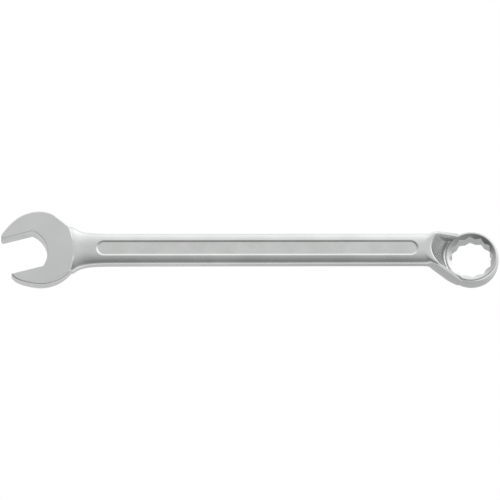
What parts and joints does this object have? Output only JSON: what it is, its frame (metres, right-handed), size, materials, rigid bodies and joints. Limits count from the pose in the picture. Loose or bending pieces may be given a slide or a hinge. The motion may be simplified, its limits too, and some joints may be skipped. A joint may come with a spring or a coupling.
{
  "type": "combination wrench",
  "caption": "Forged combination wrench: open jaw turned 15 degrees at one end, cranked ring with a bi-hexagon bore at the other.",
  "frame": {"origin": "middle of the wrench's outline seen from the front, at the height of its lowest point, the ring's lower edge", "axes": "+X along the shank from the open jaw towards the ring, +Y across the shank towards the upper jaw, +Z out of the front face"},
  "size_m": [0.223, 0.0346, 0.0227],
  "materials": {
    "satin_chrome": "satin chrome plate over a drop-forged and ground surface"
  },
  "bodies": {
    "root": {"wrench_forging": "satin_chrome"}
  },
  "joints": []
}
